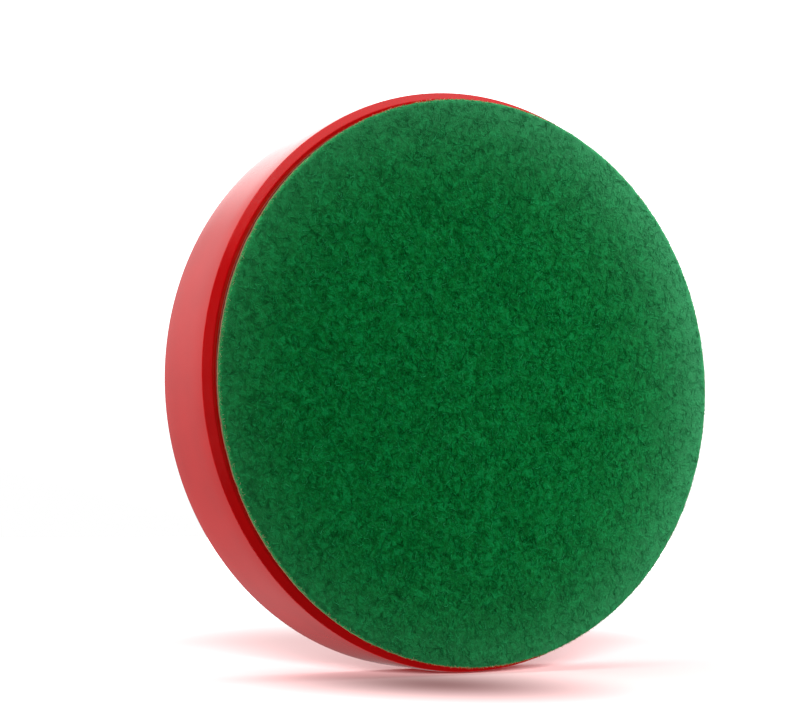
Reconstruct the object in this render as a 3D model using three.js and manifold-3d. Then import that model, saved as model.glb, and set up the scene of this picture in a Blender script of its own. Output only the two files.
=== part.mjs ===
// Felt polishing wheel, 100 mm: a felt disc with a loop backing, held by a hook sheet on a red moulded
// cup, which a threaded steel hub flange fixes to a machine's spindle.
//
// Millimetres, +Z up. The wheel's axis is Y. The felt faces -Y, the machine's spindle comes in from +Y,
// and the origin is the centre of the wheel, halfway between the felt's face and the back.

import * as THREE from "three";
import { mergeVertices } from "three/addons/utils/BufferGeometryUtils.js";
import Module from "manifold-3d";

const wasm = await Module();
wasm.setup();

// ---- Driving dimensions ----

const WHEEL_R = 50; // outside of the cup
const THICKNESS = 19; // felt face to back edge

const FELT_R = 48.5;
const FELT_T = 1.0;
const LOOP_T = 0.4;
const HOOK_R = 48.0;
const HOOK_T = 0.6;

const LIP_FACE_R = 48.6; // where the flat face ends and the lip begins
const LIP_DEPTH = 1.3; // along the axis
const LIP_BLEND_R = 0.25; // small radius between the lip and the side wall
const BACK_EDGE_R = 0.8;
const RIM_T = 3.2; // side wall, at the back edge
const WALL_DRAFT = 0.6; // how much thicker the side wall is at the face plate
const PLATE_T = 4.0; // face plate

const BOSS_R = 20; // moulded boss in the middle of the cup
const BOSS_BACK = 7.5; // how far the boss's top lies below the back edge
const RIBS = 6;
const RIB_T = 2.4;
const RIB_BACK = 3; // how far a rib's outer end lies below the back edge

const SEAT_R = 9; // steel boss that the spindle's shoulder lands on
const SEAT_FLATS = 16; // across the two spanner flats
const SEAT_CHAMFER = 0.6;
const FLANGE_R = 17;
const FLANGE_T = 2.5;
const SPIGOT_R = 8;
const SPIGOT_LENGTH = 6;
const THREAD_BORE_R = 4.25; // tapping size of an M10 x 1.5 thread
const THREAD_MOUTH_R = 5.4;

const CLAMP_R = 18; // steel plate under the hook sheet
const CLAMP_T = 1.5;
const CLAMP_HOLE_R = 5.5;
const CLAMP_RECESS = 2.5;

const RIVETS = 6;
const RIVET_CIRCLE_R = 13;
const RIVET_R = 2.0;
const RIVET_HEAD_R = 3.5;
const RIVET_HEAD_H = 1.2;
const RIVET_TAIL_H = 0.8;

const GAP = 0.3; // clearance round a turned or drilled fit
const RIM_SEGMENTS = 96;
const HUB_SEGMENTS = 72;
const RIVET_SEGMENTS = 24;
const ARC_STEPS = 4; // straight steps in a small rounded edge

// ---- Planes across the axis, from the felt's face to the back ----

const BACK_Y = THICKNESS / 2;
const FELT_FRONT_Y = -THICKNESS / 2;
const FELT_BACK_Y = FELT_FRONT_Y + FELT_T;
const LOOP_BACK_Y = FELT_BACK_Y + LOOP_T;
const CUP_FACE_Y = LOOP_BACK_Y + HOOK_T;
const PLATE_BACK_Y = CUP_FACE_Y + PLATE_T;
const RECESS_Y = CUP_FACE_Y + CLAMP_RECESS;
const CLAMP_FRONT_Y = RECESS_Y - CLAMP_T;
const BOSS_Y = BACK_Y - BOSS_BACK;
const FLANGE_BACK_Y = BOSS_Y + FLANGE_T;
const SPIGOT_END_Y = BOSS_Y - SPIGOT_LENGTH;

// ---- Materials ----

function material(color, roughness, metalness) {
  return new THREE.MeshStandardMaterial({ color, roughness, metalness });
}

const redPlastic = material(0xb3080c, 0.18, 0);
const greenFelt = material(0x0f6030, 0.95, 0);
const paleLoop = material(0x9fb58a, 0.9, 0);
const darkHook = material(0x232122, 0.7, 0);
const plainSteel = material(0x9a9c9e, 0.35, 1);
const rivetSteel = material(0xb4b6b8, 0.3, 1);

// ---- Shapes ----

// A closed geometry as a solid that can be joined and cut.
function toSolid(geometry) {
  const bare = geometry.clone();
  bare.deleteAttribute("normal");
  bare.deleteAttribute("uv");
  const merged = mergeVertices(bare, 1e-5);
  const vertProperties = new Float32Array(merged.attributes.position.array);
  const triVerts = new Uint32Array(merged.index.array);
  return new wasm.Manifold(new wasm.Mesh({ numProp: 3, vertProperties, triVerts }));
}

function toGeometry(solid) {
  const mesh = solid.getMesh();
  const geometry = new THREE.BufferGeometry();
  geometry.setAttribute("position", new THREE.BufferAttribute(mesh.vertProperties, 3));
  geometry.setIndex(new THREE.BufferAttribute(mesh.triVerts, 1));
  geometry.computeVertexNormals();
  return geometry;
}

// Turns a profile of [radius, y] points about the wheel's axis.
function turned(points, segments) {
  const profile = points.map(([r, y]) => new THREE.Vector2(r, y));
  return new THREE.LatheGeometry(profile, segments);
}

// Points of an arc about [r, y], from one angle to another, in degrees: 0 is outward, 90 is to the back.
function arc(r, y, radius, fromDegrees, toDegrees) {
  const points = [];
  for (let step = 0; step <= ARC_STEPS; step += 1) {
    const share = step / ARC_STEPS;
    const angle = THREE.MathUtils.degToRad(fromDegrees + share * (toDegrees - fromDegrees));
    points.push([r + radius * Math.cos(angle), y + radius * Math.sin(angle)]);
  }
  return points;
}

// A cylinder along the axis, at a place on a circle about it.
function axialCylinder(radius, fromY, toY, circleR, angle, segments) {
  const cylinder = new THREE.CylinderGeometry(radius, radius, toY - fromY, segments);
  cylinder.translate(circleR * Math.cos(angle), (fromY + toY) / 2, -circleR * Math.sin(angle));
  return cylinder;
}

function rivetAngle(index) {
  return (index / RIVETS) * 2 * Math.PI;
}

// Cuts the holes that the rivets pass through.
function drillForRivets(solid) {
  let drilled = solid;
  for (let index = 0; index < RIVETS; index += 1) {
    const hole = axialCylinder(
      RIVET_R + GAP,
      FELT_FRONT_Y,
      BACK_Y,
      RIVET_CIRCLE_R,
      rivetAngle(index),
      RIVET_SEGMENTS,
    );
    drilled = drilled.subtract(toSolid(hole));
  }
  return drilled;
}

// ---- Sub-parts ----

// The cup's section: face, lip, side wall, rounded back edge, inside, boss and centre hole.
function cupProfile() {
  const lipEndY = CUP_FACE_Y + LIP_DEPTH;
  const wallInsideR = WHEEL_R - RIM_T;
  const lipSlope = THREE.MathUtils.radToDeg(Math.atan2(WHEEL_R - LIP_FACE_R, LIP_DEPTH));
  return [
    [SPIGOT_R + GAP, RECESS_Y],
    [CLAMP_R + GAP, RECESS_Y],
    [CLAMP_R + GAP, CUP_FACE_Y],
    [LIP_FACE_R, CUP_FACE_Y],
    ...arc(WHEEL_R - LIP_BLEND_R, lipEndY, LIP_BLEND_R, -lipSlope, 0),
    ...arc(WHEEL_R - BACK_EDGE_R, BACK_Y - BACK_EDGE_R, BACK_EDGE_R, 0, 90),
    [wallInsideR, BACK_Y],
    [wallInsideR - WALL_DRAFT, PLATE_BACK_Y],
    [BOSS_R, PLATE_BACK_Y],
    [BOSS_R, BOSS_Y],
    [SPIGOT_R + GAP, BOSS_Y],
    [SPIGOT_R + GAP, RECESS_Y],
  ];
}

// One rib from the boss to the side wall, with a sloping top, sunk a little into all that it joins.
function rib(angle) {
  const sink = 1;
  const innerR = BOSS_R - sink;
  const outerR = WHEEL_R - RIM_T + sink;
  const outline = new THREE.Shape();
  outline.moveTo(innerR, PLATE_BACK_Y - sink);
  outline.lineTo(outerR, PLATE_BACK_Y - sink);
  outline.lineTo(outerR, BACK_Y - RIB_BACK);
  outline.lineTo(innerR, BOSS_Y);
  outline.closePath();
  const geometry = new THREE.ExtrudeGeometry(outline, { depth: RIB_T, bevelEnabled: false });
  geometry.translate(0, 0, -RIB_T / 2);
  geometry.rotateY(angle);
  return geometry;
}

function backingCup() {
  let solid = toSolid(turned(cupProfile(), RIM_SEGMENTS));
  for (let index = 0; index < RIBS; index += 1) {
    solid = solid.add(toSolid(rib((index / RIBS) * 2 * Math.PI)));
  }
  return toGeometry(drillForRivets(solid));
}

// Steel flange with the spindle's seat behind, the spigot in front and the threaded bore right through.
function hubFlange() {
  const mouthDepth = THREAD_MOUTH_R - THREAD_BORE_R;
  const profile = [
    [THREAD_BORE_R, SPIGOT_END_Y],
    [SPIGOT_R, SPIGOT_END_Y],
    [SPIGOT_R, BOSS_Y],
    [FLANGE_R, BOSS_Y],
    [FLANGE_R, FLANGE_BACK_Y],
    [SEAT_R, FLANGE_BACK_Y],
    [SEAT_R, BACK_Y - SEAT_CHAMFER],
    [SEAT_R - SEAT_CHAMFER, BACK_Y],
    [THREAD_MOUTH_R, BACK_Y],
    [THREAD_BORE_R, BACK_Y - mouthDepth],
    [THREAD_BORE_R, SPIGOT_END_Y],
  ];
  let solid = toSolid(turned(profile, HUB_SEGMENTS));
  const depth = BACK_Y - FLANGE_BACK_Y;
  for (const side of [-1, 1]) {
    const flat = new THREE.BoxGeometry(SEAT_R, 2 * depth, 2 * SEAT_R);
    flat.translate((side * (SEAT_FLATS + SEAT_R)) / 2, FLANGE_BACK_Y + depth, 0);
    solid = solid.subtract(toSolid(flat));
  }
  return toGeometry(drillForRivets(solid));
}

function clampPlate() {
  const profile = [
    [CLAMP_HOLE_R, CLAMP_FRONT_Y],
    [CLAMP_R, CLAMP_FRONT_Y],
    [CLAMP_R, RECESS_Y],
    [CLAMP_HOLE_R, RECESS_Y],
    [CLAMP_HOLE_R, CLAMP_FRONT_Y],
  ];
  return toGeometry(drillForRivets(toSolid(turned(profile, HUB_SEGMENTS))));
}

// A rivet: flat spread tail on the clamp plate, shank, domed head on the flange.
function rivet() {
  const profile = [
    [0, CLAMP_FRONT_Y - RIVET_TAIL_H],
    [RIVET_HEAD_R - RIVET_TAIL_H / 2, CLAMP_FRONT_Y - RIVET_TAIL_H],
    [RIVET_HEAD_R, CLAMP_FRONT_Y],
    [RIVET_R, CLAMP_FRONT_Y],
    [RIVET_R, FLANGE_BACK_Y],
    [RIVET_HEAD_R, FLANGE_BACK_Y],
  ];
  for (let step = 1; step < ARC_STEPS; step += 1) {
    const angle = (step / ARC_STEPS) * (Math.PI / 2);
    profile.push([RIVET_HEAD_R * Math.cos(angle), FLANGE_BACK_Y + RIVET_HEAD_H * Math.sin(angle)]);
  }
  profile.push([0, FLANGE_BACK_Y + RIVET_HEAD_H]);
  return turned(profile, RIVET_SEGMENTS);
}

// A plain round sheet between two planes.
function sheet(radius, fromY, toY) {
  return axialCylinder(radius, fromY, toY, 0, 0, RIM_SEGMENTS);
}

// ---- Assembly ----

function add(group, name, geometry, surface) {
  const mesh = new THREE.Mesh(geometry, surface);
  mesh.name = name;
  group.add(mesh);
  return mesh;
}

const holder = new THREE.Group();
add(holder, "backing_cup", backingCup(), redPlastic);
add(holder, "hub_flange", hubFlange(), plainSteel);
add(holder, "clamp_plate", clampPlate(), plainSteel);
add(holder, "hook_sheet", sheet(HOOK_R, LOOP_BACK_Y, CUP_FACE_Y), darkHook);
for (let index = 0; index < RIVETS; index += 1) {
  const mesh = add(holder, `rivet_${index + 1}`, rivet(), rivetSteel);
  const angle = rivetAngle(index);
  mesh.position.set(RIVET_CIRCLE_R * Math.cos(angle), 0, -RIVET_CIRCLE_R * Math.sin(angle));
}

const feltPad = new THREE.Group();
add(feltPad, "loop_backing", sheet(FELT_R, FELT_BACK_Y, LOOP_BACK_Y), paleLoop);
add(feltPad, "felt_disc", sheet(FELT_R, FELT_FRONT_Y, FELT_BACK_Y), greenFelt);

const wheel = new THREE.Group();
wheel.add(holder, feltPad);

export default wheel;
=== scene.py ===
"""The looks of a felt polishing wheel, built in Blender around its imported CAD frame.

Metres, +Z up, in the CAD model's own frame: the wheel's axis is Y, the felt faces -Y, the machine's
spindle comes in from +Y and the origin is the centre of the wheel.
"""
import math

import bmesh
import bpy
import numpy as np
from mathutils import Matrix, Vector, noise


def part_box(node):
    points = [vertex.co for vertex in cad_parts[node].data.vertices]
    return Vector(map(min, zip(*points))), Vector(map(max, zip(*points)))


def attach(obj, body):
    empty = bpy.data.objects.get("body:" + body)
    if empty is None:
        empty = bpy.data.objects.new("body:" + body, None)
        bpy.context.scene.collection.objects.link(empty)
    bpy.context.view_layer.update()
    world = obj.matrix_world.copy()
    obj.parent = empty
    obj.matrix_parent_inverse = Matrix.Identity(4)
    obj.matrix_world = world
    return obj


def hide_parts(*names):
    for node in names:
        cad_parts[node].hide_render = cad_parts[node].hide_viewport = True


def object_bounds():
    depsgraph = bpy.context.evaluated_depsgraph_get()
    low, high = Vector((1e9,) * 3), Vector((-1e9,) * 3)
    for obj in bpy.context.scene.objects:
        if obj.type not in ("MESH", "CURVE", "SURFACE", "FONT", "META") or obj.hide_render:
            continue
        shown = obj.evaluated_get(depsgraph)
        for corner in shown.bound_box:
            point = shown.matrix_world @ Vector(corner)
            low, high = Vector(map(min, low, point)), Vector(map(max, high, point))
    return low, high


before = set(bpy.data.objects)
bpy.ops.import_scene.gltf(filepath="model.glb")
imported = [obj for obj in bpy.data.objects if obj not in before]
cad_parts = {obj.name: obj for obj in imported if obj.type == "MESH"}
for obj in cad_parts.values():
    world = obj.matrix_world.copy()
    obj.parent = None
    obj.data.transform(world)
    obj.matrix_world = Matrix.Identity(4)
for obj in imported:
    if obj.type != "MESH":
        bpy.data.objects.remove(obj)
CAD_LOW, CAD_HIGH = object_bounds()

MM = 0.001
TURN = 2 * math.pi
TINY = 1e-12

# ---- Places and sizes that the frame gives ----

cup_low, cup_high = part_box("backing_cup")
hub_low, hub_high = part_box("hub_flange")
_, plate_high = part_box("clamp_plate")
_, hook_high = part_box("hook_sheet")
loop_low, loop_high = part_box("loop_backing")
felt_low, felt_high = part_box("felt_disc")

WHEEL_R = cup_high.x
BACK_Y = cup_high.y
CUP_FACE_Y = cup_low.y
FELT_R = felt_high.x

# ---- Sizes of the cup and the hub that a box doesn't give ----
#
# They are the CAD source's, apart from the thread, which is a plain hole there, the ribs, which are
# thicker at their foot here, and the small rounded edges. Those that show are set against the
# photograph.

LIP_FACE_R = 48.6 * MM
LIP_DEPTH = 1.3 * MM
LIP_BLEND_R = 0.45 * MM
FACE_EDGE_R = 0.6 * MM
BACK_EDGE_R = 0.7 * MM
MOULD_EDGE_R = 0.5 * MM
RIM_INSIDE_R = WHEEL_R - 3.2 * MM
WALL_FOOT_R = RIM_INSIDE_R - 0.6 * MM
FACE_INSIDE_Y = CUP_FACE_Y + 4.0 * MM
BOSS_R = 20.0 * MM
BOSS_Y = BACK_Y - 7.5 * MM
RIBS = 6
RIB_TOP_T = 2.2 * MM
RIB_FOOT_T = 2.7 * MM
RIB_BACK = 3.0 * MM
RIB_END_Y = BACK_Y - RIB_BACK
RIB_END_R = RIM_INSIDE_R + (WALL_FOOT_R - RIM_INSIDE_R) * RIB_BACK / (BACK_Y - FACE_INSIDE_Y)

FLANGE_R = hub_high.x
FLANGE_BACK_Y = BOSS_Y + 2.5 * MM
SEAT_R = 9.0 * MM
SEAT_HALF_FLATS = 8.0 * MM
SPIGOT_R = 8.0 * MM
THREAD_MINOR_R = 4.19 * MM
THREAD_DEPTH = 0.81 * MM
THREAD_PITCH = 1.5 * MM
THREAD_MOUTH_R = 5.4 * MM
FIT_GAP = 0.3 * MM
RIVETS = 6

# ---- Mesh helpers ----


def new_piece(name, points, faces):
    """A smooth mesh object from points and faces, with its normals pointing out."""
    mesh = bpy.data.meshes.new(name)
    mesh.from_pydata(np.asarray(points, float).tolist(), [], faces)
    shape = bmesh.new()
    shape.from_mesh(mesh)
    bmesh.ops.recalc_face_normals(shape, faces=shape.faces)
    shape.to_mesh(mesh)
    shape.free()
    mesh.polygons.foreach_set("use_smooth", [True] * len(mesh.polygons))
    mesh.update()
    piece = bpy.data.objects.new(name, mesh)
    bpy.context.scene.collection.objects.link(piece)
    return piece


def polar(radius, y, angles):
    """Points on a ring about the wheel's axis."""
    angles = np.asarray(angles, float)
    radius = np.broadcast_to(radius, angles.shape)
    y = np.broadcast_to(y, angles.shape)
    return np.stack([radius * np.cos(angles), y, radius * np.sin(angles)], axis=1)


def strip(first, second, closed=False):
    """Quads between two rows of vertex numbers."""
    count = len(first)
    last = count if closed else count - 1
    return [
        (first[i], first[(i + 1) % count], second[(i + 1) % count], second[i])
        for i in range(last)
    ]


def strips(rows):
    """Quads between each row of vertex numbers and the next."""
    return [face for first, second in zip(rows, rows[1:]) for face in strip(first, second)]


def arc(radius, y, bend, start, end, steps):
    """(radius, y) points of an arc, with its angles in degrees: 0 is outward and 90 is to the back."""
    turns = np.radians(np.linspace(start, end, steps + 1))
    return [(radius + bend * math.cos(a), y + bend * math.sin(a)) for a in turns]


class Rows:
    """The points of a mesh, added a row at a time. A row is known by its vertex numbers."""

    def __init__(self):
        self.points = []
        self.total = 0

    def add(self, points):
        start = self.total
        self.points.append(points)
        self.total += len(points)
        return list(range(start, self.total))

    def piece(self, name, faces):
        return new_piece(name, np.concatenate(self.points), faces)


def revolved(name, profile, columns):
    """A section of (radius, y) points turned about the axis.

    The section starts and ends on the axis, or its last point joins its first.
    """
    angles = np.arange(columns) * TURN / columns
    mesh = Rows()
    rows = []
    for radius, y in profile:
        on_axis = not np.any(radius)
        rows.append(mesh.add(polar(radius, y, [0.0] if on_axis else angles)))
    pairs = list(zip(rows, rows[1:]))
    if len(rows[0]) > 1:
        pairs.append((rows[-1], rows[0]))
    faces = []
    for first, second in pairs:
        if len(first) == 1 or len(second) == 1:
            tip, ring = (first[0], second) if len(first) == 1 else (second[0], first)
            faces += [(tip, ring[i], ring[(i + 1) % columns]) for i in range(columns)]
        else:
            faces += strip(first, second, closed=True)
    return mesh.piece(name, faces)


def bevelled(piece, width, segments=3, over_degrees=35):
    """Rounds a piece's edges over an angle and shades its flat faces flat."""
    bevel = piece.modifiers.new("edges", "BEVEL")
    bevel.width = width
    bevel.segments = segments
    bevel.limit_method = "ANGLE"
    bevel.angle_limit = math.radians(over_degrees)
    shading = piece.modifiers.new("shading", "WEIGHTED_NORMAL")
    shading.keep_sharp = True
    return piece


def sharpen(piece, over_degrees):
    """Marks a piece's edges over an angle as sharp for its shading."""
    shape = bmesh.new()
    shape.from_mesh(piece.data)
    for edge in shape.edges:
        if len(edge.link_faces) == 2 and edge.calc_face_angle(0) > math.radians(over_degrees):
            edge.smooth = False
    shape.to_mesh(piece.data)
    shape.free()


# ---- Material helpers ----


class Nodes:
    """A material's node tree, with short calls for the nodes used here. Lengths are in millimetres."""

    def __init__(self, name):
        self.material = bpy.data.materials.new(name)
        self.material.use_nodes = True
        self.tree = self.material.node_tree
        self.shader = next(n for n in self.tree.nodes if n.type == "BSDF_PRINCIPLED")
        place = self.tree.nodes.new("ShaderNodeTexCoord").outputs["Object"]
        self.place = self.vector_math("MULTIPLY", place, (1 / MM, 1 / MM, 1 / MM))

    def link(self, source, target):
        self.tree.links.new(source, target)

    def fill(self, socket, value):
        if isinstance(value, bpy.types.NodeSocket):
            self.link(value, socket)
        else:
            socket.default_value = value

    def vector_math(self, operation, first, second=None):
        node = self.tree.nodes.new("ShaderNodeVectorMath")
        node.operation = operation
        self.fill(node.inputs[0], first)
        if second is not None:
            self.fill(node.inputs[1], second)
        return node.outputs["Value" if operation == "LENGTH" else "Vector"]

    def math(self, operation, first, second):
        node = self.tree.nodes.new("ShaderNodeMath")
        node.operation = operation
        self.fill(node.inputs[0], first)
        self.fill(node.inputs[1], second)
        return node.outputs[0]

    def distance(self, axes=(1, 1, 1), middle=(0, 0, 0)):
        """How far a point is from a middle, counted along some axes only or stretched along them."""
        offset = self.vector_math("SUBTRACT", self.place, middle)
        return self.vector_math("LENGTH", self.vector_math("MULTIPLY", offset, axes))

    def noise(self, size, detail=3.0, roughness=0.6, distortion=0.0):
        """Noise whose features are about size millimetres across."""
        node = self.tree.nodes.new("ShaderNodeTexNoise")
        self.link(self.place, node.inputs["Vector"])
        node.inputs["Scale"].default_value = 1 / size
        node.inputs["Detail"].default_value = detail
        node.inputs["Roughness"].default_value = roughness
        node.inputs["Distortion"].default_value = distortion
        return node.outputs["Fac"]

    def between(self, value, low, high, to_low=0.0, to_high=1.0):
        """Goes smoothly from to_low to to_high as a value goes from low to high."""
        node = self.tree.nodes.new("ShaderNodeMapRange")
        node.interpolation_type = "SMOOTHSTEP"
        self.link(value, node.inputs["Value"])
        node.inputs["From Min"].default_value = low
        node.inputs["From Max"].default_value = high
        node.inputs["To Min"].default_value = to_low
        node.inputs["To Max"].default_value = to_high
        return node.outputs["Result"]

    def mix(self, share, first, second):
        node = self.tree.nodes.new("ShaderNodeMix")
        node.data_type = "RGBA"
        self.fill(node.inputs["Factor"], share)
        colours = [s for s in node.inputs if s.type == "RGBA"]
        self.fill(colours[0], first)
        self.fill(colours[1], second)
        return next(s for s in node.outputs if s.type == "RGBA")

    def ramp(self, value, stops):
        node = self.tree.nodes.new("ShaderNodeValToRGB")
        self.link(value, node.inputs["Fac"])
        elements = node.color_ramp.elements
        while len(elements) < len(stops):
            elements.new(0.5)
        for element, (position, colour) in zip(elements, stops):
            element.position = position
            element.color = colour
        return node.outputs["Color"]

    def bump(self, height, distance, strength):
        """A bump whose height of 1 is distance millimetres."""
        node = self.tree.nodes.new("ShaderNodeBump")
        self.link(height, node.inputs["Height"])
        node.inputs["Distance"].default_value = distance * MM
        node.inputs["Strength"].default_value = strength
        return node.outputs["Normal"]

    def set(self, **values):
        """Sets the shader's own sockets: Base_Color=... is the socket Base Color."""
        for key, value in values.items():
            self.fill(self.shader.inputs[key.replace("_", " ")], value)


def rgb(red, green, blue):
    """A colour from its 0 to 255 screen values."""
    def linear(v):
        v /= 255
        return v / 12.92 if v <= 0.04045 else ((v + 0.055) / 1.055) ** 2.4
    return (linear(red), linear(green), linear(blue), 1.0)


# ---- Materials ----


def red_plastic():
    """The cup's glossy red plastic, a little clouded and scuffed."""
    n = Nodes("red_plastic")
    cloud = n.noise(14, detail=2)
    colour = n.mix(n.between(cloud, 0.35, 0.65), rgb(196, 5, 8), rgb(204, 8, 10))
    scuffs = n.noise(1.2, detail=6, roughness=0.7)
    n.set(
        Base_Color=colour,
        Roughness=n.between(scuffs, 0.45, 0.8, 0.12, 0.2),
        IOR=1.5,
    )
    return n.material


# Painted light and sheen: the felt's colour is made paler towards its edge, measured from a middle set off
# to the left, so the paling is strongest at the right.
NAP_SHEEN_MIDDLE = (-4, 0, -2)
NAP_SHEEN_FULL_AT = 55.5
NAP_SHEEN_STEEPNESS = 6.5
NAP_SHEEN_MOST = 0.75


def nap_and_painted_sheen(n, colour):
    """The felt's colour, paler towards its cut edge and most so at the right: partly a paler nap, and
    partly painted light and sheen.
    """
    from_middle = n.distance(axes=(1, 0, 1), middle=NAP_SHEEN_MIDDLE)
    nap_sheen = n.math("POWER", n.math("DIVIDE", from_middle, NAP_SHEEN_FULL_AT), NAP_SHEEN_STEEPNESS)
    return n.mix(n.math("MINIMUM", nap_sheen, NAP_SHEEN_MOST), colour, rgb(78, 180, 122))


def felt():
    """Green felt, mottled with tufts and single hairs."""
    n = Nodes("green_felt")
    patches = n.noise(4.0, detail=3, roughness=0.6)
    tufts = n.noise(1.1, detail=3, roughness=0.75, distortion=0.8)
    hairs = n.noise(0.4, detail=2, roughness=0.6, distortion=1.0)
    dark, middle, light = rgb(0, 94, 34), rgb(0, 122, 48), rgb(8, 144, 70)
    colour = n.ramp(n.between(tufts, 0.34, 0.66), [(0.0, dark), (0.5, middle), (1.0, light)])
    colour = n.mix(n.between(patches, 0.35, 0.7, 0.0, 0.4), colour, rgb(0, 110, 42))
    colour = n.mix(n.between(hairs, 0.5, 0.7, 0.0, 0.35), colour, rgb(44, 160, 96))
    height = n.math("ADD", tufts, n.math("MULTIPLY", hairs, 0.5))
    n.set(
        Base_Color=nap_and_painted_sheen(n, colour),
        Roughness=n.between(tufts, 0.3, 0.7, 0.88, 1.0),
        Normal=n.bump(height, 0.25, 0.8),
        Specular_IOR_Level=0.02,
        Sheen_Weight=0.04,
        Sheen_Roughness=0.5,
    )
    return n.material


def tinted_fibre(name, nap_sheen):
    """Fibres that carry their own colour in the point attribute tint, some with the felt's paler nap and
    painted sheen.
    """
    n = Nodes(name)
    node = n.tree.nodes.new("ShaderNodeAttribute")
    node.attribute_name = "tint"
    uneven = n.noise(0.5, detail=2)
    colour = n.mix(n.between(uneven, 0.3, 0.7, 0.0, 0.25), node.outputs["Color"], rgb(0, 70, 30))
    n.set(
        Base_Color=nap_and_painted_sheen(n, colour) if nap_sheen else colour,
        Roughness=n.between(uneven, 0.3, 0.7, 0.7, 0.9),
        Specular_IOR_Level=0.02,
    )
    return n.material


def loop_cloth():
    """The olive cloth of the loop backing, and its loops."""
    n = Nodes("loop_cloth")
    weave = n.noise(0.35, detail=3, distortion=1.5)
    colour = n.mix(n.between(weave, 0.3, 0.7), rgb(136, 98, 58), rgb(158, 128, 82))
    n.set(
        Base_Color=colour,
        Roughness=n.between(weave, 0.3, 0.7, 0.85, 1.0),
        Normal=n.bump(weave, 0.12, 0.7),
        Specular_IOR_Level=0.15,
        Sheen_Weight=0.2,
    )
    return n.material


def hook_nylon():
    """The brownish red nylon of the hook sheet and its hooks."""
    n = Nodes("hook_nylon")
    grain = n.noise(0.4, detail=3)
    n.set(
        Base_Color=n.mix(n.between(grain, 0.3, 0.7), rgb(124, 42, 30), rgb(152, 60, 44)),
        Roughness=n.between(grain, 0.3, 0.7, 0.45, 0.65),
        Normal=n.bump(grain, 0.05, 0.5),
    )
    return n.material


def turned_steel(name, light, dark, roughness):
    """Zinc-plated steel with fine turning marks about the wheel's axis."""
    n = Nodes(name)
    rings = n.tree.nodes.new("ShaderNodeTexWave")
    rings.wave_type = "RINGS"
    rings.rings_direction = "Y"
    rings.inputs["Scale"].default_value = 2.2
    rings.inputs["Distortion"].default_value = 1.0
    n.link(n.place, rings.inputs["Vector"])
    stain = n.noise(3, detail=4)
    n.set(
        Base_Color=n.mix(n.between(stain, 0.35, 0.7), light, dark),
        Metallic=1.0,
        Roughness=n.between(stain, 0.3, 0.7, roughness - 0.06, roughness + 0.1),
        Normal=n.bump(rings.outputs["Fac"], 0.01, 0.5),
    )
    return n.material


def white_floor():
    """A white table top with a painted shadow and a painted pink tint of red bounce light where the red
    wheel stands, that glows white far away.
    """
    n = Nodes("white_floor")
    # The dark colour is a painted shadow in an oval just in front of the wheel, and the pink one a painted
    # tint of red bounce light, which shows where the lamps leave shade; both fade to white away from the
    # wheel.
    white, painted_red_bounce, shade = (0.95, 0.95, 0.95, 1.0), (0.6, 0.42, 0.42, 1.0), (0.15, 0.08, 0.08, 1.0)
    shade_middle = (-16, -24, 0)
    shade_wide, shade_deep = 26, 40
    from_contact = n.distance(axes=(1, 1, 0))
    from_shade = n.distance(axes=(1 / shade_wide, 1 / shade_deep, 0), middle=shade_middle)
    colour = n.mix(n.between(from_shade, 0.0, 1.3), shade, painted_red_bounce)
    n.set(
        Base_Color=n.mix(n.between(from_contact, 90, 220), colour, white),
        Roughness=0.6,
        Specular_IOR_Level=0.0,
        Emission_Color=(1, 1, 1, 1),
        Emission_Strength=n.between(from_contact, 250, 900, 0.0, 1.1),
    )
    return n.material


# ---- The backing cup ----

POCKET_STEPS = 32
RIB_STEPS = 10
WALL_STEPS = 12
FRONT_DROP = 0.10 * MM  # how much lower the side wall is at the lip than halfway back
BACK_DROP = 0.05 * MM
DROP_REACH = 3.5 * MM
SECTOR = TURN / RIBS
SECTOR_COLUMNS = POCKET_STEPS + 2  # a rib's middle and the points of the pocket after it
SHARES_OUT = np.linspace(0, 1, RIB_STEPS + 1)  # steps from the boss out to the wall


def cup_angles(radius, thickness):
    """Angles round the cup: each rib's middle, then the pocket from that rib's side to the next one's."""
    half = math.asin(thickness / 2 / radius)
    angles = []
    for rib in range(RIBS):
        start = rib * SECTOR
        angles.append(start)
        angles.extend(np.linspace(start + half, start + SECTOR - half, POCKET_STEPS + 1))
    return np.array(angles)


def side_wall():
    """(radius, y) of the side wall from the lip to the back edge, with a slight fall towards both ends."""
    front, back = CUP_FACE_Y + LIP_DEPTH, BACK_Y - BACK_EDGE_R
    wall = []
    for y in np.linspace(front, back, WALL_STEPS + 1):
        to_front = max(0.0, 1 - (y - front) / DROP_REACH)
        to_back = max(0.0, 1 - (back - y) / DROP_REACH)
        wall.append((WHEEL_R - FRONT_DROP * to_front**2 - BACK_DROP * to_back**2, y))
    return wall


def cup_outside():
    """(radius, y) of the cup's section from the boss's top round the front to the rim's inside."""
    wall = side_wall()
    lip_slope = math.degrees(math.atan2(WHEEL_R - LIP_FACE_R, LIP_DEPTH))
    hole_r = SPIGOT_R + FIT_GAP
    recess_r = plate_high.x + FIT_GAP
    recess_y = plate_high.y
    lip_top = wall[0][0] - LIP_BLEND_R
    face_end = LIP_FACE_R - FACE_EDGE_R * math.tan(math.radians(45 - lip_slope / 2))
    edge_r = wall[-1][0] - BACK_EDGE_R
    return [
        (hole_r, BOSS_Y),
        (hole_r, recess_y),
        (recess_r, recess_y),
        (recess_r, CUP_FACE_Y),
        ((recess_r + LIP_FACE_R) / 2, CUP_FACE_Y),
        *arc(face_end, CUP_FACE_Y + FACE_EDGE_R, FACE_EDGE_R, -90, -lip_slope, steps=5),
        *arc(lip_top, wall[0][1], LIP_BLEND_R, -lip_slope, 0, steps=3),
        *wall[1:],
        *arc(edge_r, wall[-1][1], BACK_EDGE_R, 0, 90, steps=6)[1:],
        (RIM_INSIDE_R, BACK_Y),
    ]


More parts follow.
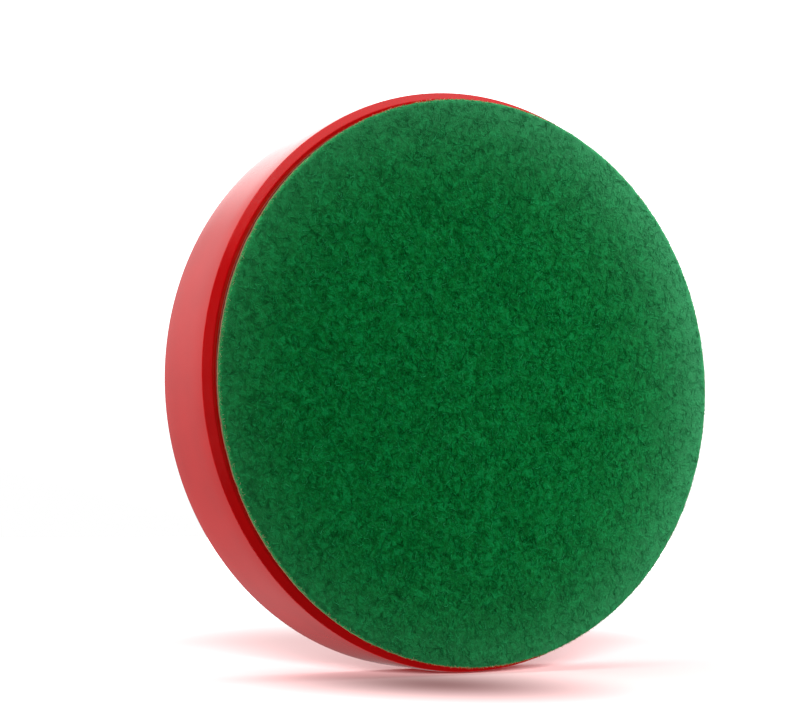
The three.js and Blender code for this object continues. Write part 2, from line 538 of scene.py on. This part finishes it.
def cup_skin(mesh):
    """The cup's section turned about the axis.

    It gives its faces, its first row, round the boss's top, and its last one, where the ribs end.
    """
    inner = cup_angles(BOSS_R, RIB_TOP_T)
    outer = cup_angles(RIM_INSIDE_R, RIB_TOP_T)
    halfway = (BOSS_R + LIP_FACE_R) / 2
    rows = [mesh.add(polar(BOSS_R, BOSS_Y, inner))]
    for radius, y in [*cup_outside(), (RIB_END_R, RIB_END_Y)]:
        rows.append(mesh.add(polar(radius, y, inner if radius < halfway else outer)))
    faces = []
    for first, second in zip(rows, rows[1:]):
        faces += strip(first, second, closed=True)
    return faces, rows[0], rows[-1]


def rib_top(mesh, rib, boss_row, wall_row):
    """Rows of three points along a rib's top, from the boss to the wall."""
    column = rib * SECTOR_COLUMNS
    columns = [(column - 1) % len(boss_row), column, column + 1]
    rows = [[boss_row[c] for c in columns]]
    for share in SHARES_OUT[1:-1]:
        radius = BOSS_R + share * (RIB_END_R - BOSS_R)
        y = BOSS_Y + share * (RIB_END_Y - BOSS_Y)
        half = math.asin(RIB_TOP_T / 2 / radius)
        middle = rib * SECTOR
        rows.append(mesh.add(polar(radius, y, [middle - half, middle, middle + half])))
    return rows + [[wall_row[c] for c in columns]]


def pocket_floor(mesh, pocket):
    """Rows of points over a pocket's floor, from the boss to the wall."""
    rows = []
    for share in SHARES_OUT:
        radius = BOSS_R + share * (WALL_FOOT_R - BOSS_R)
        half = math.asin(RIB_FOOT_T / 2 / radius)
        start = pocket * SECTOR
        angles = np.linspace(start + half, start + SECTOR - half, POCKET_STEPS + 1)
        rows.append(mesh.add(polar(radius, FACE_INSIDE_Y, angles)))
    return rows


def backing_cup():
    """The moulded cup: a turned section with six pockets behind, and ribs between them."""
    mesh = Rows()
    faces, boss_row, wall_row = cup_skin(mesh)
    ribs = [rib_top(mesh, rib, boss_row, wall_row) for rib in range(RIBS)]
    for rib in ribs:
        faces += strips(rib)
    for pocket in range(RIBS):
        floor_rows = pocket_floor(mesh, pocket)
        columns = range(pocket * SECTOR_COLUMNS + 1, (pocket + 1) * SECTOR_COLUMNS)
        near_rib, far_rib = ribs[pocket], ribs[(pocket + 1) % RIBS]
        faces += strips(floor_rows)
        faces += strip([boss_row[c] for c in columns], floor_rows[0])
        faces += strip([wall_row[c] for c in columns], floor_rows[-1])
        faces += strip([row[-1] for row in near_rib], [row[0] for row in floor_rows])
        faces += strip([row[0] for row in far_rib], [row[-1] for row in floor_rows])
    return bevelled(mesh.piece("cup_body", faces), MOULD_EDGE_R)


# ---- The steel hub and the rivets ----

HUB_COLUMNS = 144
SEAT_CHAMFER = 0.6 * MM
HUB_EDGE = 0.3 * MM
THREAD_ROWS_PER_PITCH = 12
THREAD_CREST = 0.2  # the flat crest's share of half a pitch
THREAD_FLANK = 0.65  # a flank's share of half a pitch

RIVET_COLUMNS = 48
RIVET_SHANK_R = 2.0 * MM
RIVET_HEAD_H = 1.2 * MM
RIVET_TAIL_H = 0.8 * MM
RIVET_RIM_H = 0.25 * MM
RIVET_BEVEL = 0.5 * MM
RIVET_BEVEL_H = 0.3 * MM
RIVET_DRAFT = 0.1 * MM
RIVET_UNDERCUT = 0.05 * MM
DOME_STEPS = 8
DOME_FULLNESS = 0.8


def thread_radius(y, angles):
    """Radius of the internal thread's surface at a height, round the bore."""
    phase = (y / THREAD_PITCH - angles / TURN) % 1.0
    ridge = 1 - np.abs(2 * phase - 1)
    return THREAD_MINOR_R + THREAD_DEPTH * np.clip((ridge - THREAD_CREST) / THREAD_FLANK, 0, 1)


def hub():
    """The steel flange: seat boss with two spanner flats, flange, spigot and a real helical thread."""
    angles = np.arange(HUB_COLUMNS) * TURN / HUB_COLUMNS
    flats = SEAT_HALF_FLATS / np.maximum(np.abs(np.cos(angles)), TINY)
    seat_r = np.minimum(SEAT_R, flats)
    end_y = hub_low.y
    profile = [
        (SPIGOT_R - HUB_EDGE, end_y),
        (SPIGOT_R, end_y + HUB_EDGE),
        (SPIGOT_R, BOSS_Y),
        (FLANGE_R - HUB_EDGE, BOSS_Y),
        (FLANGE_R, BOSS_Y + HUB_EDGE),
        (FLANGE_R, FLANGE_BACK_Y - HUB_EDGE),
        (FLANGE_R - HUB_EDGE, FLANGE_BACK_Y),
        (seat_r + HUB_EDGE, FLANGE_BACK_Y),
        (seat_r, FLANGE_BACK_Y + HUB_EDGE),
        (seat_r, BACK_Y - SEAT_CHAMFER),
        (seat_r - SEAT_CHAMFER, BACK_Y),
        (THREAD_MOUTH_R, BACK_Y),
    ]
    rows = round((BACK_Y - end_y) / THREAD_PITCH * THREAD_ROWS_PER_PITCH)
    for y in np.linspace(BACK_Y, end_y, rows + 1)[1:]:
        mouth_r = THREAD_MOUTH_R - (BACK_Y - y)
        profile.append((np.maximum(thread_radius(y, angles), mouth_r), y))
    piece = revolved("hub_steel", profile, HUB_COLUMNS)
    sharpen(piece, over_degrees=28)
    return piece


def rivet(number):
    """A rivet with a domed head behind and a flat spread tail in front, where its CAD node is."""
    low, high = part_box(f"rivet_{number}")
    head_r = (high.x - low.x) / 2
    under_r = head_r - RIVET_UNDERCUT
    tail_y = low.y + RIVET_TAIL_H
    head_y = high.y - RIVET_HEAD_H
    profile = [
        (0, low.y),
        (head_r - RIVET_BEVEL, low.y),
        (head_r - RIVET_DRAFT, low.y + RIVET_BEVEL_H),
        (under_r, tail_y),
        (RIVET_SHANK_R, tail_y),
        (RIVET_SHANK_R, head_y),
        (under_r, head_y),
    ]
    for turn in np.linspace(0, math.pi / 2, DOME_STEPS + 1)[:-1]:
        height = RIVET_RIM_H + (RIVET_HEAD_H - RIVET_RIM_H) * math.sin(turn)
        profile.append((head_r * math.cos(turn) ** DOME_FULLNESS, head_y + height))
    profile.append((0, high.y))
    piece = revolved(f"rivet_steel_{number}", profile, RIVET_COLUMNS)
    middle = (low + high) / 2
    piece.data.transform(Matrix.Translation((middle.x, 0, middle.z)))
    sharpen(piece, over_degrees=40)
    return piece


# ---- Sheets: hook, loop and felt ----

# The felt and the loop backing
FELT_CELLS = 280
FELT_RELIEF = 0.07 * MM
FELT_EDGE_ROUND = 0.3 * MM
LOOP_CELLS = 120
LOOP_EDGE_ROUND = 0.05 * MM
EDGE_FALL = 0.6  # how far a sheet's edge falls back, as a share of its rounding
CUT_RAGGED = 0.06 * MM
CUT_SWELL = 0.5  # share of CUT_RAGGED that shows from row to row of a cut edge
CUT_SHARES = (0.35, 0.7, 1.0)  # rows down a cut edge, as shares of the way from the front to the back
RAGGED_FROM = 0.97  # share of the radius where a sheet's outline starts to be ragged
BACK_SHRINK = 0.75  # size of each ring on a sheet's plain back, as a share of the one outside it
BACK_LEAST = 12  # a ring with this many points or fewer is the last

# The felt pad's place and outline on the wheel, measured in the photograph
FELT_ASIDE = 0.41 * MM
FELT_DROP = 0.34 * MM
FELT_OVAL = 0.14 * MM  # how much longer and shorter than FELT_R its longest and shortest radius are
FELT_LONG_AXIS = math.radians(64.5)

# The hooks and the loops
HOOK_COLUMNS = 240
HOOK_BASE_T = 0.3 * MM
HOOK_EDGE = 0.05 * MM
HOOK_MARGIN = 0.5 * MM
HOOK_PITCH = 1.25 * MM
HOOK_SCATTER = 0.06 * MM
HOOK_TWIST = 0.15  # radians
HOOK_WIRE_R = 0.045 * MM
# (along, up) points of a hook's wire: it rises from its root and bends over to one side
HOOK_SHAPE = np.array([(0, -0.02), (0, 0.14), (0.03, 0.23), (0.11, 0.29), (0.2, 0.26), (0.22, 0.18)]) * MM
LOOPS = 4000
LOOP_MARGIN = 0.5 * MM
LOOP_ROOT_DEPTH = 0.05 * MM
LOOP_WIRE_R = 0.018 * MM

# The fibres
FACE_FIBRES = 7000  # in each of their two pieces
FACE_FIBRE_MARGIN = 0.4 * MM
EDGE_FIBRES = 5000
EDGE_FIBRE_DEPTH = 0.08 * MM
FIBRE_STEPS = 5
STRAND_SIDES = 3
STRAND_END = 0.55  # thickness of a strand at its ends, as a share of its full thickness
STRAND_TAPER = 6  # how fast a strand gets thicker from its ends

rng = np.random.default_rng(7)


def square_on_disc(cells):
    """A square grid bent onto a disc of radius 1, as x and z, with cells of nearly equal size."""
    line = np.linspace(-1, 1, cells + 1)
    u, v = np.meshgrid(line, line, indexing="ij")
    wide = np.abs(u) > np.abs(v)
    radius = np.where(wide, u, v)
    safe = np.where(np.abs(radius) < TINY, 1.0, radius)
    angle = np.where(wide, math.pi / 4 * v / safe, math.pi / 2 - math.pi / 4 * u / safe)
    return radius * np.cos(angle), radius * np.sin(angle)


def rim_of_grid(cells):
    """The grid's outer points, once round."""
    row = cells + 1
    side = range(cells)
    return (
        [i * row for i in side]
        + [cells * row + i for i in side]
        + [(cells - i) * row + cells for i in side]
        + [cells - i for i in side]
    )


def wander(x, z, layer, size, octaves=1):
    """Smooth random values from about -1 to 1, with features about size across. Layers differ."""
    total, weight, value = 0.0, 1.0, np.zeros(len(x))
    for octave in range(octaves):
        step = size / 2**octave
        places = zip(x / step, z / step)
        value += weight * np.array([noise.noise((a, b, layer + 17 * octave)) for a, b in places])
        total += weight
        weight *= 0.6
    return 1.6 * value / total


def cloth_front(radius, front_y, cells, relief, edge_round, ragged):
    """Points of a sheet's front: a fine relief, rounded at the edge, and an uneven outline."""
    x, z = (a.ravel() * radius for a in square_on_disc(cells))
    distance = np.hypot(x, z)
    from_edge = np.clip((distance - radius + edge_round) / edge_round, 0, 1)
    y = front_y + edge_round * (1 - np.sqrt(np.clip(1 - from_edge**2, 0, 1))) * EDGE_FALL
    coarse = wander(x, z, layer=0.5, size=2.4 * MM, octaves=2)
    fine = wander(x, z, layer=3.5, size=0.8 * MM, octaves=2)
    y -= relief * (0.6 * coarse + 0.4 * fine)
    edge_share = np.clip((distance / radius - RAGGED_FROM) / (1 - RAGGED_FROM), 0, 1)
    stretch = 1 + ragged / radius * edge_share * wander(x, z, layer=7.5, size=1.6 * MM, octaves=2)
    return np.stack([x * stretch, y, z * stretch], axis=1)


def closed_back(mesh, ring):
    """Faces that close a sheet's back, from rings with fewer and fewer points towards the middle."""
    faces = []
    while len(ring) % 2 == 0 and len(ring) > BACK_LEAST:
        inner = mesh.add(mesh.points[-1][::2] * np.array([BACK_SHRINK, 1.0, BACK_SHRINK]))
        for i, tip in enumerate(inner):
            a, b = ring[2 * i], ring[2 * i + 1]
            c, after = ring[(2 * i + 2) % len(ring)], inner[(i + 1) % len(inner)]
            faces += [(a, b, tip), (b, after, tip), (b, c, after)]
        ring = inner
    return faces + [tuple(ring)]


def cloth_disc(name, radius, front_y, back_y, cells, relief, edge_round, ragged):
    """A round sheet of cloth cut from stock: a fine uneven front, an uneven cut edge and a plain back."""
    mesh = Rows()
    mesh.add(cloth_front(radius, front_y, cells, relief, edge_round, ragged))
    row = cells + 1
    faces = [
        (i * row + j, i * row + j + 1, (i + 1) * row + j + 1, (i + 1) * row + j)
        for i in range(cells)
        for j in range(cells)
    ]
    previous = rim_of_grid(cells)
    edge = mesh.points[0][previous]
    for share in CUT_SHARES:
        line = edge.copy()
        line[:, 1] += share * (back_y - line[:, 1])
        uneven = wander(line[:, 0], line[:, 2], layer=11 + share, size=1.1 * MM)
        swell = 1 + ragged / radius * CUT_SWELL * uneven
        line[:, [0, 2]] *= swell[:, None]
        current = mesh.add(line)
        faces += strip(previous, current, closed=True)
        previous = current
    return mesh.piece(name, faces + closed_back(mesh, previous))


def strands(name, roots, along, up, curve, radius, tints=None):
    """Thin closed strands. Each has a root, two directions and a curve of (along, across, up) points."""
    across = np.cross(up, along)
    count, steps = curve.shape[:2]
    axes = np.stack([along, across, up], axis=1)
    middle = roots[:, None] + np.einsum("nsk,nkd->nsd", curve, axes)
    ahead = np.gradient(middle, axis=1)
    ahead /= np.linalg.norm(ahead, axis=2, keepdims=True) + TINY
    first = across[:, None] - ahead * np.sum(ahead * across[:, None], axis=2, keepdims=True)
    first /= np.linalg.norm(first, axis=2, keepdims=True) + TINY
    second = np.cross(ahead, first)
    to_end = np.minimum(np.linspace(0, 1, steps), np.linspace(1, 0, steps))
    taper = np.clip(to_end * STRAND_TAPER + STRAND_END, 0, 1)
    points = np.empty((count, steps, STRAND_SIDES, 3))
    for side in range(STRAND_SIDES):
        turn = side * TURN / STRAND_SIDES
        offset = math.cos(turn) * first + math.sin(turn) * second
        points[:, :, side] = middle + offset * radius[:, None, None] * taper[None, :, None]
    faces = []
    strand_points = steps * STRAND_SIDES
    for base in range(0, count * strand_points, strand_points):
        starts = range(base, base + strand_points, STRAND_SIDES)
        rows = [list(range(start, start + STRAND_SIDES)) for start in starts]
        for low, high in zip(rows, rows[1:]):
            faces += strip(low, high, closed=True)
        faces += [tuple(rows[0][::-1]), tuple(rows[-1])]
    piece = new_piece(name, points.reshape(-1, 3), faces)
    if tints is not None:
        layer = piece.data.attributes.new("tint", "FLOAT_COLOR", "POINT")
        layer.data.foreach_set("color", np.repeat(tints, strand_points, axis=0).ravel())
    return piece


def spread(low, high, count):
    """Random values from low to high, all equally likely."""
    return low + (high - low) * rng.random(count)


def random_in_disc(count, radius):
    """x and z of random places, spread evenly over a disc."""
    distance = radius * np.sqrt(rng.random(count))
    angle = TURN * rng.random(count)
    return distance * np.cos(angle), distance * np.sin(angle)


def lying_directions(count, angle=None):
    """Unit directions in the plane of the wheel's face, random ones if no angle is given."""
    angle = TURN * rng.random(count) if angle is None else angle
    return np.stack([np.cos(angle), np.zeros(count), np.sin(angle)], axis=1)


def all_facing(count, y):
    """The same direction for each strand: along the axis, to the front with -1 or to the back with 1."""
    return np.tile([0.0, y, 0.0], (count, 1))


def fibre_curves(length, bend, lift):
    """Curves of fibres that lie down: a gentle bow sideways, with the middle lifted."""
    t = np.linspace(-1, 1, FIBRE_STEPS)
    bow = 1 - t[None] ** 2
    return np.stack([length[:, None] / 2 * t[None], bend[:, None] * bow, lift[:, None] * bow], axis=2)


FACE_TINTS = [
    (rgb(0, 122, 48), 0.38),
    (rgb(0, 88, 32), 0.28),
    (rgb(10, 146, 72), 0.26),
    (rgb(44, 166, 100), 0.08),
]
# Shades of the fibres at the cut edge: partly their own colour, and the pale ones partly a painted
# highlight of light grazing the edge.
EDGE_TINTS_AND_HIGHLIGHT = [
    (rgb(40, 140, 74), 0.3),
    (rgb(112, 128, 70), 0.25),
    (rgb(170, 190, 134), 0.3),
    (rgb(216, 200, 160), 0.15),
]


def fibre_tints(count, tints):
    """A shade for each fibre, picked from (shade, share) pairs."""
    shades = np.array([shade for shade, _ in tints])
    return shades[rng.choice(len(tints), count, p=[share for _, share in tints])]


def felt_fibres(name, count):
    """Loose fibres that lie on the felt's face."""
    x, z = random_in_disc(count, FELT_R - FACE_FIBRE_MARGIN)
    roots = np.stack([x, felt_low.y - spread(0, 0.03 * MM, count), z], axis=1)
    curve = fibre_curves(
        length=spread(0.5 * MM, 1.6 * MM, count),
        bend=0.22 * MM * rng.normal(size=count),
        lift=spread(0, 0.07 * MM, count),
    )
    radius = spread(0.024 * MM, 0.05 * MM, count)
    tints = fibre_tints(count, FACE_TINTS)
    return strands(name, roots, lying_directions(count), all_facing(count, -1), curve, radius, tints)


def edge_fibres(name, count):
    """Short fibres that stand out of the felt's cut edge, most of them near its front."""
    angle = TURN * rng.random(count)
    depth = (felt_high.y - felt_low.y) * rng.beta(1, 1.6, count)
    roots = lying_directions(count, angle) * (FELT_R - EDGE_FIBRE_DEPTH)
    roots[:, 1] = felt_low.y + depth
    lean = np.clip(rng.normal(scale=0.9, size=count), -1.5, 1.5)
    curve = fibre_curves(
        length=(0.25 + 0.6 * rng.random(count) ** 2) * MM,
        bend=0.12 * MM * rng.normal(size=count),
        lift=0.05 * MM * rng.normal(size=count),
    )
    radius = spread(0.016 * MM, 0.03 * MM, count)
    tints = fibre_tints(count, EDGE_TINTS_AND_HIGHLIGHT)
    along = lying_directions(count, angle + lean)
    return strands(name, roots, along, all_facing(count, -1), curve, radius, tints)


def staggered_places(radius, pitch):
    """x and z of a staggered grid of places inside a circle, and each one's row number."""
    lines = int(radius / pitch)
    x, z, rows = [], [], []
    for row in range(-lines, lines + 1):
        shift = pitch / 2 if row % 2 else 0
        for column in range(-lines, lines + 1):
            place = (column * pitch + shift, row * pitch)
            if math.hypot(*place) < radius:
                x.append(place[0])
                z.append(place[1])
                rows.append(row)
    return np.array(x), np.array(z), np.array(rows)


def hooks():
    """The small nylon hooks on the hook sheet's face, in staggered rows that face both ways."""
    x, z, rows = staggered_places(hook_high.x - HOOK_MARGIN, HOOK_PITCH)
    count = len(x)
    roots = np.stack([x, np.full(count, hook_high.y - HOOK_BASE_T), z], axis=1)
    roots[:, [0, 2]] += HOOK_SCATTER * rng.normal(size=(count, 2))
    facing = np.where(rows % 2, 0.0, math.pi) + HOOK_TWIST * rng.normal(size=count)
    curve = np.zeros((count, len(HOOK_SHAPE), 3))
    curve[:, :, [0, 2]] = HOOK_SHAPE
    radius = np.full(count, HOOK_WIRE_R)
    return strands("hooks", roots, lying_directions(count, facing), all_facing(count, -1), curve, radius)


def loops():
    """The fine loops on the back of the felt pad that the hooks catch."""
    x, z = random_in_disc(LOOPS, FELT_R - LOOP_MARGIN)
    roots = np.stack([x, np.full(LOOPS, loop_high.y - LOOP_ROOT_DEPTH), z], axis=1)
    turns = np.linspace(-0.15, 1.15, 7) * math.pi
    size = spread(0.16 * MM, 0.32 * MM, LOOPS)[:, None]
    along = size * np.cos(turns)
    across = 0.3 * size * np.sin(2 * turns)
    up = 0.7 * size * np.sin(turns)
    curve = np.stack([along, across, up], axis=2)
    radius = np.full(LOOPS, LOOP_WIRE_R)
    return strands("loop_pile", roots, lying_directions(LOOPS), all_facing(LOOPS, 1), curve, radius)


def laid(piece):
    """Moves a piece of the felt pad a little off the wheel's middle and makes it a little oval."""
    along = Vector((math.cos(FELT_LONG_AXIS), 0, math.sin(FELT_LONG_AXIS)))
    across = Vector((-along.z, 0, along.x))
    stretch = FELT_OVAL / FELT_R
    oval = Matrix.Scale(1 + stretch, 4, along) @ Matrix.Scale(1 - stretch, 4, across)
    piece.data.transform(Matrix.Translation((FELT_ASIDE, 0, -FELT_DROP)) @ oval)
    return piece


def hook_base():
    """The nylon sheet that carries the hooks."""
    radius, back = hook_high.x, hook_high.y
    front = back - HOOK_BASE_T
    profile = [
        (0, front),
        (radius - HOOK_EDGE, front),
        (radius, front + HOOK_EDGE),
        (radius, back - HOOK_EDGE),
        (radius - HOOK_EDGE, back),
        (0, back),
    ]
    piece = revolved("hook_nylon_sheet", profile, HOOK_COLUMNS)
    sharpen(piece, over_degrees=30)
    return piece


# ---- Studio ----

CAMERA_AZIMUTH = math.radians(-29.26)
CAMERA_ELEVATION = math.radians(-4.82)
CAMERA_DISTANCE = 342 * MM
CAMERA_ASIDE = 13.3 * MM
CAMERA_ABOVE = 4.1 * MM
LENS_MM = 90
SENSOR_MM = 36
FLOOR_REACH = 3.0
FLOOR_GAP = 0.2 * MM
CLIP_NEAR = 0.01
CLIP_FAR = 20


def camera():
    """The camera. It looks past the felt's middle, from the side that the photograph was taken from."""
    level = math.cos(CAMERA_ELEVATION)
    back = Vector(
        (math.sin(CAMERA_AZIMUTH) * level, -math.cos(CAMERA_AZIMUTH) * level, math.sin(CAMERA_ELEVATION))
    )
    right = Vector((math.cos(CAMERA_AZIMUTH), math.sin(CAMERA_AZIMUTH), 0))
    up = back.cross(right)
    data = bpy.data.cameras.new("camera")
    data.lens = LENS_MM
    data.sensor_width = SENSOR_MM
    data.clip_start = CLIP_NEAR
    data.clip_end = CLIP_FAR
    eye = bpy.data.objects.new("camera", data)
    face_centre = Vector((0, felt_low.y, 0))
    eye.location = face_centre + back * CAMERA_DISTANCE - right * CAMERA_ASIDE + up * CAMERA_ABOVE
    eye.rotation_euler = (-back).to_track_quat("-Z", "Y").to_euler()
    bpy.context.scene.collection.objects.link(eye)
    bpy.context.scene.camera = eye


def softbox(name, direction, distance, size, light_on_face):
    """A soft light that faces the wheel, lights it from a direction and doesn't show in reflections.

    light_on_face sets how brightly it lights a surface at the wheel's middle that faces it, whatever
    the light's distance and size are.
    """
    data = bpy.data.lights.new(name, "AREA")
    data.shape = "DISK"
    data.size = size
    data.energy = light_on_face * math.pi**2 * (distance**2 + (size / 2) ** 2)
    light = bpy.data.objects.new(name, data)
    light.location = Vector(direction).normalized() * distance
    light.rotation_euler = (-light.location).to_track_quat("-Z", "Y").to_euler()
    light.visible_camera = False
    light.visible_glossy = False
    bpy.context.scene.collection.objects.link(light)
    return light


class Sky:
    """The world's node tree. Its strength is built up from values over the directions."""

    def __init__(self):
        self.world = bpy.data.worlds.new("studio")
        self.world.use_nodes = True
        self.tree = self.world.node_tree
        self.background = next(n for n in self.tree.nodes if n.type == "BACKGROUND")
        self.direction = self.tree.nodes.new("ShaderNodeTexCoord").outputs["Generated"]

    def towards(self, direction, start, end, low, high):
        """Goes from low to high as the cosine of the angle to a direction goes from start to end."""
        dot = self.tree.nodes.new("ShaderNodeVectorMath")
        dot.operation = "DOT_PRODUCT"
        self.tree.links.new(self.direction, dot.inputs[0])
        dot.inputs[1].default_value = Vector(direction).normalized()
        step = self.tree.nodes.new("ShaderNodeMapRange")
        step.interpolation_type = "SMOOTHSTEP"
        self.tree.links.new(dot.outputs["Value"], step.inputs["Value"])
        step.inputs["From Min"].default_value = start
        step.inputs["From Max"].default_value = end
        step.inputs["To Min"].default_value = low
        step.inputs["To Max"].default_value = high
        return step.outputs["Result"]

    def join(self, operation, first, second):
        """Adds or multiplies two strengths, or takes the larger one."""
        node = self.tree.nodes.new("ShaderNodeMath")
        node.operation = operation
        self.tree.links.new(first, node.inputs[0])
        self.tree.links.new(second, node.inputs[1])
        return node.outputs[0]


def surroundings():
    """A white room behind the wheel, brighter at the upper right and dim on the side the felt faces."""
    sky = Sky()
    behind = sky.towards((0, 1, 0), 0.1, 0.75, 0.0, 1.0)
    walls = sky.towards((0, 0, 1), -0.4, 0.4, 0.42, 0.84)
    low_corner = sky.towards((0.554, 0.755, -0.352), 0.85, 1.0, 1.0, 0.25)
    window = sky.towards((0.6, 0.6, 0.52), 0.68, 0.92, 0.0, 1.1)
    walls = sky.join("MULTIPLY", walls, low_corner)
    walls = sky.join("ADD", walls, window)
    walls = sky.join("MULTIPLY", walls, behind)
    ceiling = sky.towards((0, 0, 1), 0.6, 1.0, 0.03, 1.0)
    strength = sky.join("ADD", walls, ceiling)
    seen = sky.tree.nodes.new("ShaderNodeLightPath").outputs["Is Camera Ray"]
    strength = sky.join("MAXIMUM", strength, seen)
    sky.background.inputs["Color"].default_value = (1, 1, 1, 1)
    sky.tree.links.new(strength, sky.background.inputs["Strength"])
    bpy.context.scene.world = sky.world


def floor():
    """A wide white table top just under the wheel."""
    signs = [(-1, -1), (1, -1), (1, 1), (-1, 1)]
    corners = [(x * FLOOR_REACH, y * FLOOR_REACH, CAD_LOW.z - FLOOR_GAP) for x, y in signs]
    piece = new_piece("floor", corners, [(0, 1, 2, 3)])
    piece.data.materials.append(white_floor())
    piece.visible_diffuse = False
    piece.visible_glossy = False
    piece.visible_shadow = False
    return piece


def shine(lights, piece, state):
    """Lets lights shine on one piece only, with INCLUDE, or on everything but that piece, with EXCLUDE."""
    group = bpy.data.collections.new(state.lower() + "_" + piece.name)
    group.objects.link(piece)
    group.collection_objects[0].light_linking.link_state = state
    for light in lights:
        light.light_linking.receiver_collection = group


bpy.context.scene.view_settings.view_transform = "Standard"
camera()
surroundings()
table = floor()
wheel_lights = [
    softbox("left_fill", (-0.87, -0.5, 0.0), 0.45, 0.44, 0.28),
    softbox("low_fill", (-0.45, 0.4, -0.8), 0.45, 0.44, 0.65),
    softbox("right_key", (0.68, -0.25, 0.69), 0.16, 0.10, 0.8),
    softbox("left_key", (-0.68, -0.18, 0.71), 0.16, 0.10, 0.41),
    softbox("right_fill", (0.75, -0.43, -0.50), 0.16, 0.10, 0.45),
]
table_lights = [
    softbox("table_top_light", (0.05, 0.1, 1.0), 0.6, 1.3, 0.6),
    softbox("table_front_light", (-0.46, -0.88, 0.11), 0.6, 0.14, 7.3),
    softbox("table_haze", (0, 0, 1), 0.6, 0.5, 0.25),
]
table_lights[-1].data.use_shadow = False
shine(wheel_lights, table, "EXCLUDE")
shine(table_lights, table, "INCLUDE")

# ---- The pieces, on their bodies ----


def place(piece, material, body, slot, *nodes):
    """Gives a piece its material and its body, and hides the CAD nodes that it stands for.

    The slot argument is not used.
    """
    piece.data.materials.append(material)
    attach(piece, body)
    if nodes:
        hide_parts(*nodes)
    return piece


place(backing_cup(), red_plastic(), "holder", "red_plastic", "backing_cup")
hub_steel = turned_steel("hub_steel", rgb(178, 180, 180), rgb(150, 150, 146), 0.3)
rivet_steel = turned_steel("rivet_steel", rgb(196, 198, 200), rgb(166, 166, 164), 0.26)
place(hub(), hub_steel, "holder", "hub_steel", "hub_flange")
for number in range(1, RIVETS + 1):
    place(rivet(number), rivet_steel, "holder", "rivet_steel", f"rivet_{number}")
nylon = hook_nylon()
hook_piece = place(hook_base(), nylon, "holder", "hook_nylon", "hook_sheet")
place(hooks(), nylon, "holder", "hook_nylon")

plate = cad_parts["clamp_plate"]
plate.data.materials.clear()
plate.data.materials.append(turned_steel("plate_steel", rgb(150, 150, 150), rgb(128, 126, 122), 0.4))

cloth = loop_cloth()
loop_piece = cloth_disc(
    "loop_sheet",
    FELT_R,
    front_y=loop_low.y,
    back_y=loop_high.y,
    cells=LOOP_CELLS,
    relief=0.0,
    edge_round=LOOP_EDGE_ROUND,
    ragged=CUT_RAGGED,
)
place(laid(loop_piece), cloth, "felt_pad", "loop_fabric", "loop_backing")
pile = place(laid(loops()), cloth, "felt_pad", "loop_fabric")

felt_piece = cloth_disc(
    "felt_face",
    FELT_R,
    front_y=felt_low.y,
    back_y=felt_high.y,
    cells=FELT_CELLS,
    relief=FELT_RELIEF,
    edge_round=FELT_EDGE_ROUND,
    ragged=CUT_RAGGED,
)
place(laid(felt_piece), felt(), "felt_pad", "green_felt", "felt_disc")
face_fibre = tinted_fibre("felt_fibre", nap_sheen=True)
edge_fibre = tinted_fibre("felt_edge_fibre", nap_sheen=False)
fibres = [
    place(laid(felt_fibres("felt_fibres_1", FACE_FIBRES)), face_fibre, "felt_pad", "green_felt"),
    place(laid(felt_fibres("felt_fibres_2", FACE_FIBRES)), face_fibre, "felt_pad", "green_felt"),
    place(laid(edge_fibres("felt_edge_fibres", EDGE_FIBRES)), edge_fibre, "felt_pad", "green_felt"),
]
